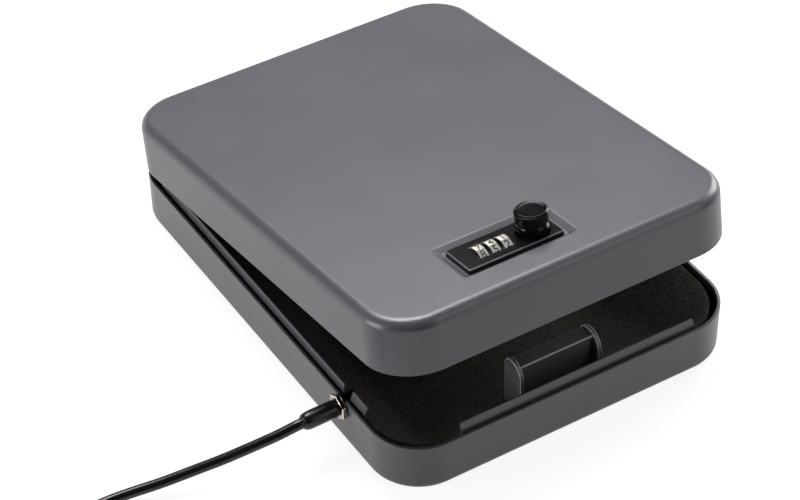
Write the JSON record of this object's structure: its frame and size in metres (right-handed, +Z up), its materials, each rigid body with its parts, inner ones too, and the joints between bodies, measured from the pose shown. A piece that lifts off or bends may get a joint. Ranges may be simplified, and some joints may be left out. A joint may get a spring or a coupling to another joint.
{
  "type": "portable safe",
  "caption": "Shallow lockable steel box with a foam lining, a hinged lid, a number-dial lock with a turning knob, and a coiled steel tether cable with a looped end.",
  "frame": {"origin": "centre of the tray's flat underside, on the surface it rests on", "axes": "+X to the right as seen from the lock side, +Y towards the hinge, +Z up; the lid stands ajar at rest"},
  "size_m": [0.3519, 0.3219, 0.097],
  "materials": {
    "powder_coat": "slate-grey satin powder coat with a fine grain",
    "black_coat": "black satin coat",
    "foam": "near-black fine-celled foam, matt",
    "lock_black": "black satin coat on a zinc casting",
    "dial_ivory": "cream number faces, satin",
    "brass": "bare brass",
    "plated_steel": "bright zinc plating",
    "anchor_plating": "warm yellow-nickel plating, polished",
    "gloss_black": "gloss black",
    "vinyl": "smooth glossy black vinyl over wire rope"
  },
  "bodies": {
    "base": {"base_shell": "powder_coat", "flange_front": "powder_coat", "flange_left_front": "powder_coat", "flange_left_rear": "powder_coat", "flange_right": "powder_coat", "base_floor_foam": "foam", "base_wall_foam": "foam", "strike_bracket": "black_coat", "hinge_base_leaf": "powder_coat", "hinge_pin": "plated_steel", "anchor_stud": "anchor_plating", "anchor_nut": "anchor_plating", "cable_sleeve": "gloss_black", "cable_lead": "vinyl", "cable_coil": "vinyl", "coil_tie": "vinyl", "cable_tail": "vinyl", "cable_ferrule": "plated_steel", "cable_eye": "vinyl"},
    "lid": {"lid_shell": "powder_coat", "lid_foam": "foam", "hinge_lid_leaf": "powder_coat", "lock_faceplate": "lock_black", "lock_housing": "lock_black", "lock_screw_left": "plated_steel", "lock_screw_right": "plated_steel", "dial_axle": "plated_steel", "detent_spring": "plated_steel", "gate_bar": "brass", "gate_spring": "plated_steel", "spindle_washer": "plated_steel"},
    "dial_1": {"dial_wheel_1": "dial_ivory", "code_sleeve_1": "brass"},
    "dial_2": {"dial_wheel_2": "dial_ivory", "code_sleeve_2": "brass"},
    "dial_3": {"dial_wheel_3": "dial_ivory", "code_sleeve_3": "brass"},
    "knob": {"lock_knob": "gloss_black", "knob_spindle": "plated_steel", "cam_lever": "plated_steel", "cam_screw": "plated_steel"},
    "reset": {"reset_lever": "plated_steel"}
  },
  "joints": [
    {"name": "lid_hinge", "type": "hinge", "parent": "base", "child": "lid", "pos_m": [0, 0.123, 0.025], "axis": [-1, 0, 0], "range_deg": [-9.38, 95.56]},
    {"name": "dial_1_turn", "type": "hinge", "parent": "lid", "child": "dial_1", "pos_m": [-0.0264, -0.08403, 0.08091], "axis": [1, 0, 0], "continuous": true},
    {"name": "dial_2_turn", "type": "hinge", "parent": "lid", "child": "dial_2", "pos_m": [-0.0203, -0.08403, 0.08091], "axis": [1, 0, 0], "continuous": true},
    {"name": "dial_3_turn", "type": "hinge", "parent": "lid", "child": "dial_3", "pos_m": [-0.0142, -0.08403, 0.08091], "axis": [1, 0, 0], "continuous": true},
    {"name": "knob_turn", "type": "hinge", "parent": "lid", "child": "knob", "pos_m": [0.0005, -0.08348, 0.0867], "axis": [0, -0.164, -0.9865], "range_deg": [0, 90]},
    {"name": "reset_turn", "type": "hinge", "parent": "lid", "child": "reset", "pos_m": [-0.0203, -0.07995, 0.06888], "axis": [0, 0.164, 0.9865], "range_deg": [0, 40]}
  ]
}
